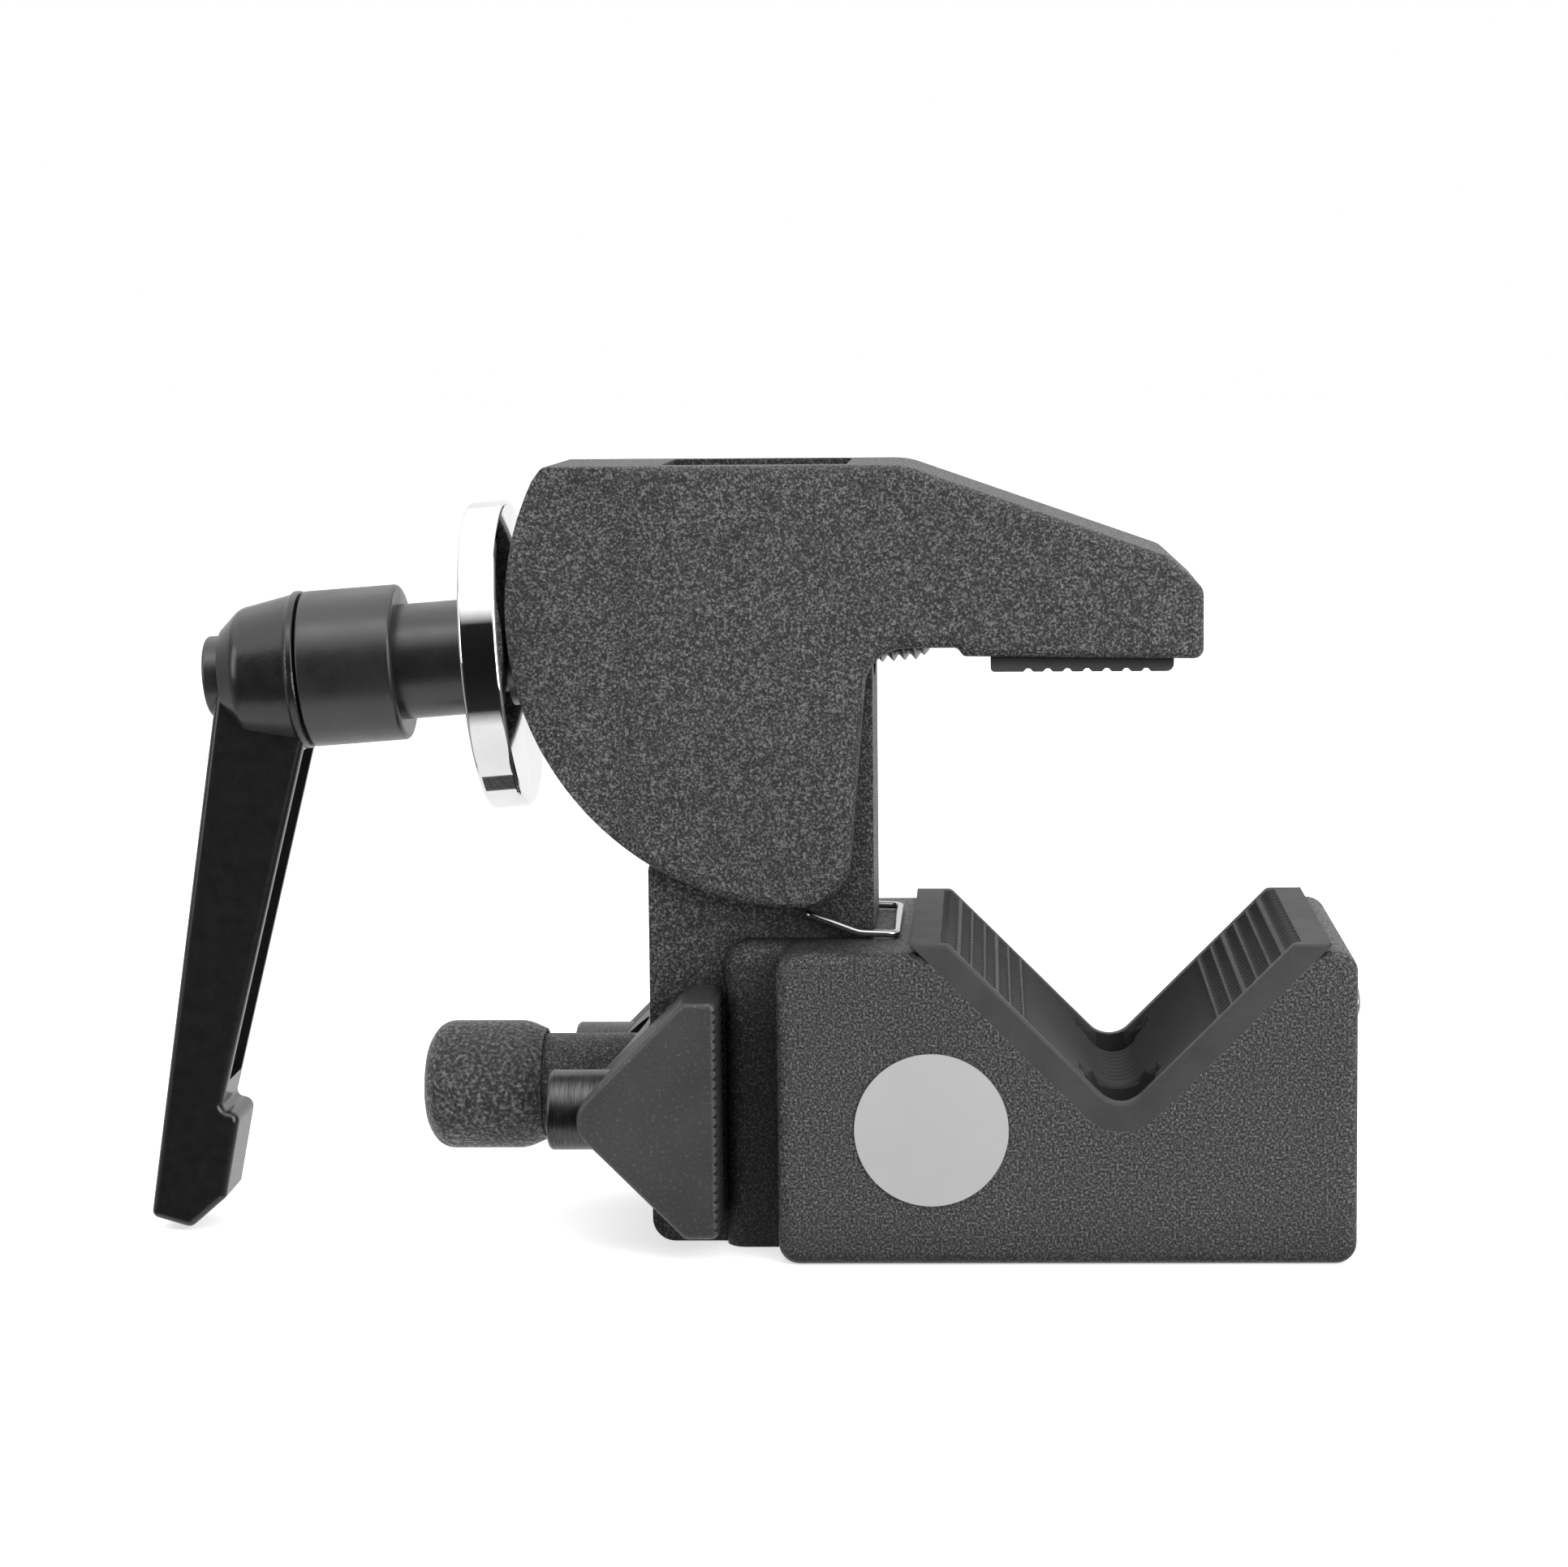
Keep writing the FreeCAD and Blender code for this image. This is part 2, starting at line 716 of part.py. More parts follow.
def lever_bore():
    """Space for the toothed spigot, the spring's ledge and the counterbore of the screw head."""
    beyond = 20
    lip = -size("sleeve_end") - 0.35
    start = lip + beyond
    end = -size("hub_end") - beyond
    ledge = -size("spigot_end") - 1.0
    seat = -size("spring_seat")
    clear = 0.3
    outer = size("hub_radius") + 6
    spigot = size("spigot_radius") + clear
    shank = size("shank_radius") + clear
    head = size("head_radius") + clear
    return on_screw_line(turned("lever_bore", [
        (0, start),
        (outer, start),
        (outer, lip),
        (spigot, lip),
        (spigot, ledge),
        (shank, ledge),
        (shank, seat),
        (head, seat),
        (head, end),
        (0, end),
    ]))


def make_lever_screw():
    """Retaining screw of the lever, with a plain round head that stands proud of the hub."""
    start = -size("sleeve_end") - 0.1
    end = -size("head_end")
    seat = -size("head_seat")
    head = size("head_radius")
    shank = size("shank_radius")
    dimple = end + 1.6
    blank = turned("lever_screw_body", [
        (0, start),
        (shank, start),
        (shank, seat),
        (head, seat),
        (head, end, 0.6),
        (2.6, end),
        (2.3, dimple),
        (0, dimple),
    ])
    return node(on_screw_line(blank), "lever_screw")


def make_lever_spring():
    """Compression spring between the lever's ledge and the head of its retaining screw."""
    wire = 0.45
    radius = 4.7
    length = size("head_seat") - size("spring_seat") - 2 * wire - 0.1
    helix = Part.makeHelix(length / 3, length, radius)
    section = Part.Wire([Part.Circle(V(radius, 0, 0), V(0, 1, 0), wire).toShape()])
    spring = doc.addObject("Part::Feature", "spring_sweep")
    spring.Shape = Part.Wire(helix).makePipeShell([section], True, True)
    start = SCREW_LINE.multVec(V(0, 0, -size("head_seat") + wire + 0.05))
    spring.Placement = FreeCAD.Placement(start, SCREW_LINE.Rotation)
    return node(spring, "lever_spring")


# ---------------------------------------------------------------- stud lock
def along_minus_x(body):
    body.Placement = FreeCAD.Placement(V(0, 0, LOCK_Z), FreeCAD.Rotation(V(0, 0, 1), V(-1, 0, 0)))
    return body


def make_lock_tip():
    """Brass shoe that presses on the stud."""
    front = size("tip_front")
    back = front + size("tip_length")
    radius = size("lock_radius") - 0.2
    profile = [(0, front), (radius, front, 0.5), (radius, back), (0, back)]
    return node(along_minus_x(turned("tip_body", profile)), "lock_tip")


def make_lock_screw():
    start = size("tip_front") + size("tip_length") + 0.05
    end = size("knob_back") - 4
    radius = size("lock_radius")
    profile = [(0, start), (radius, start, 0.5), (radius, end), (0, end)]
    return node(along_minus_x(turned("lock_screw_body", profile)), "lock_screw")


def make_lock_knob():
    """Cast knob with a domed end, and a tapered rim that covers the end of the boss."""
    rim = size("knob_rim")
    face = size("knob_face")
    back = size("knob_back")
    outer = size("knob_radius")
    recess = size("knob_recess")
    screw = size("lock_radius")
    screw_end = back - 4
    blank = turned("knob_body", [
        (screw, face),
        (recess, face),
        (recess, rim),
        (recess + 0.5, rim),
        (outer, rim + 2.9, 6.0),
        (outer, back - 2.6, 3.6),
        (outer - 3.6, back, 7.0),
        (0, back),
        (0, screw_end),
        (screw, screw_end),
    ])
    return node(along_minus_x(blank), "lock_knob")


# ---------------------------------------------------------------- stored wedge
def make_wedge():
    """V-shaped insert stored on the back of the column, with a slot and a hole that clear it."""
    body = new_body("wedge_body")
    front = -size("wedge_front")
    tip = -size("wedge_tip")
    top = size("wedge_top")
    low = size("wedge_bottom")
    middle = (top + low) / 2
    shoulder = tip + (top - low) / 2
    corner = size("wedge_edge") + 0.2
    outline = rounded(flat([
        (front, low, corner),
        (front, top, corner),
        (shoulder, top, corner),
        (tip, middle, size("wedge_round")),
        (shoulder, low, corner),
    ]))
    pad(body, sketch_on(body, "XZ_Plane", [outline]), "jaw_width")
    half = size("jaw_width") / 2
    fillet(body, "wedge_edge", lambda point: abs(abs(point.y) - half) < 0.01)
    slot_back = -size("column_length") / 2 - 0.3
    slot = rounded(box_corners(slot_back, low - 2, 0, top + 2))
    pocket(body, sketch_on(body, "XZ_Plane", [slot]), "wedge_slot")
    hole = sketch_on(body, "YZ_Plane", [circle(0, LOCK_Z, size("wedge_hole_radius"))], CUT_START)
    pocket(body, hole, "40", symmetric=False, reverse=True)
    pegs = [circle(side * PEG_Y, LOCK_Z, size("peg_radius")) for side in SIDES.values()]
    seats = sketch_on(body, "YZ_Plane", pegs, CUT_START)
    pocket(body, seats, "40 - peg_start", symmetric=False, reverse=True)
    return node(body, "wedge_insert")


def make_wedge_pegs():
    """Two steel pegs pressed into the wedge."""
    radius = size("peg_radius")
    start = size("peg_start")
    end = size("peg_end")
    profile = [(0, start), (radius, start), (radius, end, 0.8), (0, end)]
    pegs = []
    for name, side in SIDES.items():
        peg = along_minus_x(turned(f"peg_{name}", profile))
        peg.Placement.Base = V(0, side * PEG_Y, LOCK_Z)
        pegs.append(peg)
    both = doc.addObject("Part::Compound", "peg_pair")
    both.Links = pegs
    return node(both, "wedge_pegs")


# ---------------------------------------------------------------- build, check and write
for make in (
        make_base_casting, make_v_pad, make_end_pins, make_round_label, make_pivot_pin, make_retaining_wire,
        make_thread_bush, make_upper_jaw, make_jaw_pad, make_thrust_disc, make_clamp_screw, make_screw_collar,
        make_disc_clip, make_hub_sleeve, make_lever_arm, make_lever_screw, make_lever_spring, make_lock_tip,
        make_lock_screw, make_lock_knob, make_wedge, make_wedge_pegs):
    make()
doc.recompute()

for item in doc.Objects:
    if "Invalid" in item.State or "Error" in item.State:
        raise RuntimeError(f"{item.Name} failed: {item.State}")
for item in NODES:
    if item.Shape.isNull() or not item.Shape.isValid():
        raise RuntimeError(f"{item.Label} has no valid shape")

os.makedirs("parts", exist_ok=True)
for item in NODES:
    item.Shape.exportStep(os.path.join("parts", item.Label + ".step"))
    box = item.Shape.BoundBox
    print(f"{item.Label:18} solids {len(item.Shape.Solids)} volume {item.Shape.Volume:9.1f} "
          f"x {box.XMin:.2f}..{box.XMax:.2f} y {box.YMin:.2f}..{box.YMax:.2f} "
          f"z {box.ZMin:.2f}..{box.ZMax:.2f}")
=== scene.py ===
import math

import bmesh
import bpy
from mathutils import Matrix, Vector


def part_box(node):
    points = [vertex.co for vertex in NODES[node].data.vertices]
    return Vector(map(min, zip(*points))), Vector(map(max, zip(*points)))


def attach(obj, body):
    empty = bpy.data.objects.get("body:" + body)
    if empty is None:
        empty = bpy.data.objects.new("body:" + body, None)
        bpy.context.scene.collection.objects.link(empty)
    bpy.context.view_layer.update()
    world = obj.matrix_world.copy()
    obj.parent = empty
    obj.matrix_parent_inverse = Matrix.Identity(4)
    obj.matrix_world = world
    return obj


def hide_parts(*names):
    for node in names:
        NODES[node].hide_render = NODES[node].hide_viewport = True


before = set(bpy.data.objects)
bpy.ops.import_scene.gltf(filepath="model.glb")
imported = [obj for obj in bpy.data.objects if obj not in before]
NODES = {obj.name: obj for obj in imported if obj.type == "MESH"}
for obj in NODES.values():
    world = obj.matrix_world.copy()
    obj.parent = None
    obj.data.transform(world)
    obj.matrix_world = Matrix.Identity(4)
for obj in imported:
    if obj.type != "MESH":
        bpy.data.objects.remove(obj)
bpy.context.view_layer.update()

MM = 0.001

# ---------------------------------------------------------------- sizes, in millimetres
WELD_GAP = 0.002            # vertices closer than this are joined before a cut
CUT_OVER = 0.3              # how far a cutter stands out of the surface that it cuts

# V pad
VEE_CENTRE = 55.15          # middle of the V along X
VEE_HALF_INSIDE = 26.1      # from the middle to the lip of the upper surface
VEE_HALF_OUTSIDE = 31.7     # from the middle to the end of the flat top
VEE_INNER_ROUND = 4.4       # radius of the valley, on the upper side
VEE_OUTER_ROUND = 7.5       # radius of the valley, on the lower side
VEE_TOP_ROUND = 1.2         # radius of the lips
LIP_STEPS = 3
VALLEY_STEPS = 10
OUTLINE_STEP = 0.36         # longest run between two points of the upper outline
JAW_HALF_WIDTH = 27.0
PEG_Y = 18.5
PEG_HOLE_RADIUS = 6.4
PEG_CUT_LOW = -5.0
PEG_CUT_HIGH = 70.0
TREAD_PITCH = 2.72          # from ridge to ridge across the jaw
TREAD_RIDGES = 18
TREAD_STEPS = 8             # rings of vertices to each ridge
TREAD_DEPTH = 1.0
TREAD_FULLNESS = 2.4        # over 1, the grooves have flat bottoms
TREAD_START = 0.9           # on the flat top, ahead of the lip
ROW_FIRST = 2.3             # lip to the first smooth band, down the slope
ROW_PITCH = 2.75
ROW_BANDS = 6
BAND_WIDTH = 0.85
EDGE_BEVEL = 0.35

# clamp screw, measured along the screw from the working face of the disc
SCREW_FACE = (-38.3, 0.0, 91.47)
SCREW_TILT = math.radians(4.2)
JOURNAL_START = -33.3
JOURNAL_END = -6.15
JOURNAL_RADIUS = 5.0
SHOULDER = -6.1
THREAD_START = 2.6
THREAD_END = 64.3
THREAD_RADIUS = 6.0
THREAD_PITCH = 1.75
THREAD_DEPTH = 0.95
THREAD_CHAMFER = 1.4
FLANK_END = 0.42            # shares of the pitch at which the groove's parts end
ROOT_END = 0.54
RISE_END = 0.96
RING_POINTS = 40
RINGS_PER_PITCH = 12

# wedge
WEDGE_DEPTH = 23.4          # from the flat face to the tip
SERRATION_PITCH = 1.46
SERRATION_MARGIN = 1.2
SERRATION_DEPTH = 0.6
SERRATION_MOUTH = 0.62      # half width where the cutter ends, ahead of the face
SERRATION_ROOT = 0.1        # half width at the bottom
SERRATION_REACH = 40.0
RIB_FIRST = 14.6            # from the middle plane to the first groove of a slope
RIB_PITCH = 1.35
RIB_COUNT = 9
RIB_START = 3.4             # from the tip, down the slope
RIB_END = 24.6
RIB_DEPTH = 0.4
RIB_HALF = 0.32
RIB_SPREAD = 1.6            # the cutter's top is wider than the groove by this factor

# ---------------------------------------------------------------- camera and light
CAMERA_PLACE = (35.1, -538.7, 141.4)    # in millimetres
CAMERA_YAW = math.radians(1.29)
CAMERA_PITCH = math.radians(5.42)
CAMERA_ROLL = math.radians(-0.40)
CAMERA_LENS = 79.02
CAMERA_SENSOR = 36.0
CAMERA_SHIFT = -0.08

FLOOR_HALF = 6000.0         # in millimetres
FLOOR_DROP = 0.05           # keeps the floor just clear of the clamp's underside
FLOOR_GLOW = 0.55

# name, place, target, width and height in metres, and watts
SOFT_BOXES = (
    ("top_box", (-0.10, -0.50, 0.95), (0.0, 0.0, 0.06), 0.90, 0.35, 1.5),
    ("left_box", (-0.90, -0.45, 0.35), (0.0, 0.0, 0.06), 0.40, 0.70, 2.6),
    ("right_box", (0.48, -0.42, 0.22), (0.05, 0.0, 0.06), 0.45, 0.65, 4.4),
)

# brightness of the surroundings, as (position, value) stops
SIDE_STOPS = [(0.2, 1.0), (0.45, 0.45), (0.6, 0.3), (0.8, 0.04), (1.0, 0.01)]   # 0 back, 1 front
ROOF_STOPS = [(0.45, 0.0), (0.65, 1.0)]     # share of the roof, by height
TABLE_STOPS = [(0.6, 0.0), (0.75, 1.0)]     # share of the table, by depth
ROOF_LIGHT = 1.6
TABLE_LIGHT = 1.0

# colour sockets of the Mix node
MIX_FIRST = 6
MIX_SECOND = 7
MIX_RESULT = 2


# ---------------------------------------------------------------- node helpers
def add_node(tree, kind, **settings):
    made = tree.nodes.new(kind)
    for name, value in settings.items():
        setattr(made, name, value)
    return made


def new_material(name, colour, roughness, metallic=0.0, specular=0.5):
    """A material with its shader's plain values set on the shader's own sockets."""
    material = bpy.data.materials.new(name)
    material.use_nodes = True
    tree = material.node_tree
    tree.nodes.clear()
    output = add_node(tree, "ShaderNodeOutputMaterial")
    bsdf = add_node(tree, "ShaderNodeBsdfPrincipled")
    tree.links.new(bsdf.outputs["BSDF"], output.inputs["Surface"])
    bsdf.inputs["Base Color"].default_value = (*colour, 1.0)
    bsdf.inputs["Roughness"].default_value = roughness
    bsdf.inputs["Metallic"].default_value = metallic
    bsdf.inputs["Specular IOR Level"].default_value = specular
    return material, tree, bsdf


def grey(value):
    return (value, value, value)


def coordinates(tree, stretch=(1.0, 1.0, 1.0)):
    """Object coordinates, stretched by a factor along each axis."""
    where = add_node(tree, "ShaderNodeTexCoord")
    mapping = add_node(tree, "ShaderNodeMapping")
    mapping.inputs["Scale"].default_value = stretch
    tree.links.new(where.outputs["Object"], mapping.inputs["Vector"])
    return mapping.outputs["Vector"]


def noise(tree, vector, cell, detail=3.0, rough=0.6):
    """Noise whose features are about one cell wide, in millimetres."""
    made = add_node(tree, "ShaderNodeTexNoise")
    made.inputs["Scale"].default_value = 1.0 / (cell * MM)
    made.inputs["Detail"].default_value = detail
    made.inputs["Roughness"].default_value = rough
    tree.links.new(vector, made.inputs["Vector"])
    return made.outputs["Fac"]


def ramp(tree, value, stops):
    """A colour ramp from (position, grey value or colour) stops."""
    made = add_node(tree, "ShaderNodeValToRGB")
    elements = made.color_ramp.elements
    while len(elements) < len(stops):
        elements.new(0.5)
    for element, (position, shade) in zip(elements, stops):
        element.position = position
        colour = shade if isinstance(shade, tuple) else grey(shade)
        element.color = (*colour, 1.0)
    tree.links.new(value, made.inputs["Fac"])
    return made.outputs["Color"]


def blend(tree, kind, factor, first, second):
    """Mix two colours; the factor is a number or an output."""
    made = add_node(tree, "ShaderNodeMix", data_type="RGBA", blend_type=kind)
    if isinstance(factor, (int, float)):
        made.inputs["Factor"].default_value = factor
    else:
        tree.links.new(factor, made.inputs["Factor"])
    for index, source in ((MIX_FIRST, first), (MIX_SECOND, second)):
        if isinstance(source, tuple):
            made.inputs[index].default_value = (*source, 1.0)
        else:
            tree.links.new(source, made.inputs[index])
    return made.outputs[MIX_RESULT]


def bump(tree, bsdf, height, depth, strength=1.0, below=None):
    """Bump of the given depth in millimetres, on top of another bump if one is given."""
    made = add_node(tree, "ShaderNodeBump")
    made.inputs["Distance"].default_value = depth * MM
    made.inputs["Strength"].default_value = strength
    tree.links.new(height, made.inputs["Height"])
    if below is not None:
        tree.links.new(below, made.inputs["Normal"])
    tree.links.new(made.outputs["Normal"], bsdf.inputs["Normal"])
    return made.outputs["Normal"]


def edge_mask(tree, radius, stops):
    """A mask that is light where the surface turns over an edge within the radius."""
    soft = add_node(tree, "ShaderNodeBevel", samples=4)
    soft.inputs["Radius"].default_value = radius * MM
    plain = add_node(tree, "ShaderNodeNewGeometry")
    dot = add_node(tree, "ShaderNodeVectorMath", operation="DOT_PRODUCT")
    tree.links.new(soft.outputs["Normal"], dot.inputs[0])
    tree.links.new(plain.outputs["Normal"], dot.inputs[1])
    return ramp(tree, dot.outputs["Value"], stops)


def painted_corner_shade(tree, colour, reach, closed, clear, darkest):
    """Painted shade: the colour, darker where other surfaces stand close by within the reach."""
    near = add_node(tree, "ShaderNodeAmbientOcclusion", samples=8)
    near.inputs["Distance"].default_value = reach * MM
    shade = ramp(tree, near.outputs["AO"], [(closed, darkest), (clear, 1.0)])
    return blend(tree, "MULTIPLY", 1.0, colour, shade)


# ---------------------------------------------------------------- materials
def coated_casting(name, dark, light, grain, depth, roughness):
    """Wrinkle-finish paint on cast metal: fine light and dark grain with a soft sheen, and painted shade
    in corners and recesses.
    """
    material, tree, bsdf = new_material(name, grey(dark), roughness, specular=0.4)
    place = coordinates(tree)
    fine = noise(tree, place, grain, 3.0, 0.6)
    broad = noise(tree, place, 26.0, 2.0, 0.5)
    colour = ramp(tree, fine, [(0.43, dark), (0.57, light)])
    specks = ramp(tree, fine, [(0.56, 0.0), (0.66, 1.0)])
    colour = blend(tree, "MIX", specks, colour, grey(light * 2.6))
    patches = ramp(tree, broad, [(0.3, 0.86), (0.7, 1.0)])
    colour = blend(tree, "MULTIPLY", 1.0, colour, patches)
    # painted shade: the colour darkens where nearby surfaces close in, within 14 mm
    colour = painted_corner_shade(tree, colour, reach=14.0, closed=0.25, clear=0.85, darkest=0.25)
    worn = edge_mask(tree, 0.5, [(0.55, 1.0), (0.93, 0.0)])
    worn = blend(tree, "MULTIPLY", 1.0, worn, ramp(tree, fine, [(0.42, 0.15), (0.62, 1.0)]))
    colour = blend(tree, "MIX", worn, colour, grey(light * 1.9))
    tree.links.new(colour, bsdf.inputs["Base Color"])
    gloss = ramp(tree, fine, [(0.4, roughness + 0.12), (0.6, roughness - 0.1)])
    tree.links.new(gloss, bsdf.inputs["Roughness"])
    bump(tree, bsdf, fine, depth)
    return material


def grip_rubber():
    """Moulded rubber with a little dust in its pores, and painted shade in its grooves."""
    material, tree, bsdf = new_material("grip_rubber", grey(0.05), 0.62, specular=0.4)
    place = coordinates(tree)
    fine = noise(tree, place, 0.35, 3.0)
    broad = noise(tree, place, 9.0, 3.0)
    colour = ramp(tree, broad, [(0.3, 0.024), (0.7, 0.033)])
    dust = ramp(tree, fine, [(0.55, 0.0), (0.8, 0.35)])
    colour = blend(tree, "MIX", dust, colour, grey(0.07))
    # painted shade: the colour darkens in the tread's grooves and close corners
    colour = painted_corner_shade(tree, colour, reach=2.2, closed=0.60, clear=0.96, darkest=0.02)
    tree.links.new(colour, bsdf.inputs["Base Color"])
    gloss = ramp(tree, broad, [(0.3, 0.58), (0.7, 0.72)])
    tree.links.new(gloss, bsdf.inputs["Roughness"])
    bump(tree, bsdf, fine, 0.02)
    return material


def wedge_plastic():
    """Satin moulded plastic with fine light specks."""
    material, tree, bsdf = new_material("wedge_plastic", grey(0.035), 0.42)
    place = coordinates(tree)
    fine = noise(tree, place, 0.5, 4.0)
    broad = noise(tree, place, 14.0, 2.0)
    colour = ramp(tree, broad, [(0.3, 0.026), (0.7, 0.036)])
    specks = ramp(tree, fine, [(0.58, 0.0), (0.72, 0.8)])
    colour = blend(tree, "MIX", specks, colour, grey(0.12))
    tree.links.new(colour, bsdf.inputs["Base Color"])
    gloss = ramp(tree, fine, [(0.3, 0.52), (0.7, 0.38)])
    tree.links.new(gloss, bsdf.inputs["Roughness"])
    bump(tree, bsdf, fine, 0.05)
    return material


def label_film():
    """Plain light grey film."""
    material, tree, bsdf = new_material("label_film", grey(0.30), 0.38)
    place = coordinates(tree)
    fine = noise(tree, place, 0.8, 3.0)
    broad = noise(tree, place, 12.0, 2.0)
    colour = ramp(tree, broad, [(0.3, 0.29), (0.7, 0.305)])
    tree.links.new(colour, bsdf.inputs["Base Color"])
    gloss = ramp(tree, fine, [(0.3, 0.42), (0.7, 0.34)])
    tree.links.new(gloss, bsdf.inputs["Roughness"])
    bump(tree, bsdf, fine, 0.004)
    return material


def turned_metal(name, dark, light, roughness, stretch=(1.0, 1.0, 1.0), cell=0.12, depth=0.006,
                 metallic=1.0, specular=0.5):
    """Machined metal with fine marks, drawn out along the axes whose stretch is small."""
    material, tree, bsdf = new_material(name, grey(light), roughness, metallic, specular)
    marks = noise(tree, coordinates(tree, stretch), cell, 4.0, 0.7)
    broad = noise(tree, coordinates(tree), 7.0, 3.0)
    colour = ramp(tree, marks, [(0.3, dark), (0.7, light)])
    colour = blend(tree, "MULTIPLY", 1.0, colour, ramp(tree, broad, [(0.3, 0.8), (0.7, 1.0)]))
    tree.links.new(colour, bsdf.inputs["Base Color"])
    gloss = ramp(tree, broad, [(0.3, roughness * 0.8), (0.7, roughness * 1.25)])
    tree.links.new(gloss, bsdf.inputs["Roughness"])
    bump(tree, bsdf, marks, depth)
    return material


def disc_chrome():
    """Polished plating with faint polishing haze."""
    material, tree, bsdf = new_material("disc_chrome", grey(0.82), 0.05, 1.0)
    place = coordinates(tree)
    haze = noise(tree, place, 6.0, 4.0)
    scratches = noise(tree, coordinates(tree, (1.0, 8.0, 8.0)), 0.9, 5.0, 0.7)
    tree.links.new(ramp(tree, haze, [(0.3, 0.76), (0.7, 0.86)]), bsdf.inputs["Base Color"])
    gloss = ramp(tree, scratches, [(0.45, 0.035), (0.75, 0.11)])
    tree.links.new(gloss, bsdf.inputs["Roughness"])
    bump(tree, bsdf, haze, 0.004)
    return material


def bush_brass():
    """Machined brass with fine turning marks."""
    material, tree, bsdf = new_material("bush_brass", (0.62, 0.45, 0.22), 0.3, 1.0)
    marks = noise(tree, coordinates(tree, (8.0, 1.0, 1.0)), 1.0, 4.0)
    colour = ramp(tree, marks, [(0.3, (0.50, 0.35, 0.16)), (0.7, (0.66, 0.49, 0.25))])
    tree.links.new(colour, bsdf.inputs["Base Color"])
    gloss = ramp(tree, marks, [(0.3, 0.24), (0.7, 0.38)])
    tree.links.new(gloss, bsdf.inputs["Roughness"])
    bump(tree, bsdf, marks, 0.005)
    return material


def lever_coat():
    """Smooth black enamel over a casting, with a slight orange-peel texture."""
    material, tree, bsdf = new_material("lever_coat", grey(0.008), 0.24, specular=0.6)
    place = coordinates(tree)
    peel = noise(tree, place, 2.2, 2.0, 0.5)
    fine = noise(tree, place, 0.5, 3.0)
    tree.links.new(ramp(tree, peel, [(0.3, 0.006), (0.7, 0.009)]), bsdf.inputs["Base Color"])
    tree.links.new(ramp(tree, fine, [(0.3, 0.28), (0.7, 0.20)]), bsdf.inputs["Roughness"])
    first = bump(tree, bsdf, peel, 0.02, 0.6)
    bump(tree, bsdf, fine, 0.004, 0.5, first)
    return material


MATERIALS = {
    "cast_coat": coated_casting("cast_coat", dark=0.008, light=0.054, grain=0.36, depth=0.34,
                                roughness=0.44),
    "knob_coat": coated_casting("knob_coat", dark=0.014, light=0.058, grain=0.60, depth=0.55,
                                roughness=0.36),
    "grip_rubber": grip_rubber(),
    "wedge_plastic": wedge_plastic(),
    "label_film": label_film(),
    "bright_steel": turned_metal("bright_steel", dark=0.45, light=0.62, roughness=0.22),
    "dark_steel": turned_metal("dark_steel", dark=0.16, light=0.26, roughness=0.34),
    "peg_steel": turned_metal("peg_steel", dark=0.04, light=0.14, roughness=0.34,
                              stretch=(1.0, 0.04, 0.04), cell=0.16, depth=0.012),
    "black_steel": turned_metal("black_steel", dark=0.010, light=0.018, roughness=0.30,
                                stretch=(1.0, 0.05, 0.05), cell=0.2, depth=0.003,
                                metallic=0.0, specular=0.75),
    "disc_chrome": disc_chrome(),
    "bush_brass": bush_brass(),
    "lever_coat": lever_coat(),
}


def paint(piece, slot):
    """Give a piece the one material of its slot."""
    piece.data.materials.clear()
    piece.data.materials.append(MATERIALS[slot])


# ---------------------------------------------------------------- mesh helpers
def smooth(piece, sharp):
    """Smooth shading, except at edges over the sharp angle in degrees."""
    mesh = piece.data
    mesh.polygons.foreach_set("use_smooth", [True] * len(mesh.polygons))
    mesh.set_sharp_from_angle(angle=math.radians(sharp))
    mesh.update()


def mesh_piece(name, vertices, faces, sharp=35.0):
    """A mesh piece from vertices in millimetres, smooth except at edges over the sharp angle."""
    mesh = bpy.data.meshes.new(name)
    mesh.from_pydata([Vector(v) * MM for v in vertices], [], faces)
    shaped = bmesh.new()
    shaped.from_mesh(mesh)
    bmesh.ops.recalc_face_normals(shaped, faces=shaped.faces)
    shaped.to_mesh(mesh)
    shaped.free()
    piece = bpy.data.objects.new(name, mesh)
    bpy.context.scene.collection.objects.link(piece)
    smooth(piece, sharp)
    return piece


def rings_to_faces(rings, size, closed_ends=True):
    """Quads between successive rings of the same size, with the ends capped."""
    faces = []
    for ring in range(rings - 1):
        for index in range(size):
            after = (index + 1) % size
            low = ring * size
            faces.append((low + index, low + after, low + size + after, low + size + index))
    if closed_ends:
        faces.append(tuple(reversed(range(size))))
        last = (rings - 1) * size
        faces.append(tuple(range(last, last + size)))
    return faces


def carved(name, source, cutters, sharp=30.0):
    """A copy of a mesh with the cutters taken out of it."""
    mesh = source.data.copy()
    piece = bpy.data.objects.new(name, mesh)
    bpy.context.scene.collection.objects.link(piece)
    weld = piece.modifiers.new("weld", "WELD")
    weld.merge_threshold = WELD_GAP * MM
    for cutter in cutters:
        cut = piece.modifiers.new("cut", "BOOLEAN")
        cut.operation = "DIFFERENCE"
        cut.solver = "MANIFOLD"
        cut.object = cutter
    view = bpy.context.evaluated_depsgraph_get()
    result = bpy.data.meshes.new_from_object(piece.evaluated_get(view))
    piece.modifiers.clear()
    piece.data = result
    for cutter in cutters:
        bpy.data.objects.remove(cutter)
    smooth(piece, sharp)
    return piece


def prism(outline, low, high):
    """Vertices and faces of an outline of (x, z) points drawn out along Y."""
    count = len(outline)
    vertices = [(x, low, z) for x, z in outline] + [(x, high, z) for x, z in outline]
    faces = [(i, (i + 1) % count, count + (i + 1) % count, count + i) for i in range(count)]
    faces.append(tuple(reversed(range(count))))
    faces.append(tuple(range(count, 2 * count)))
    return vertices, faces


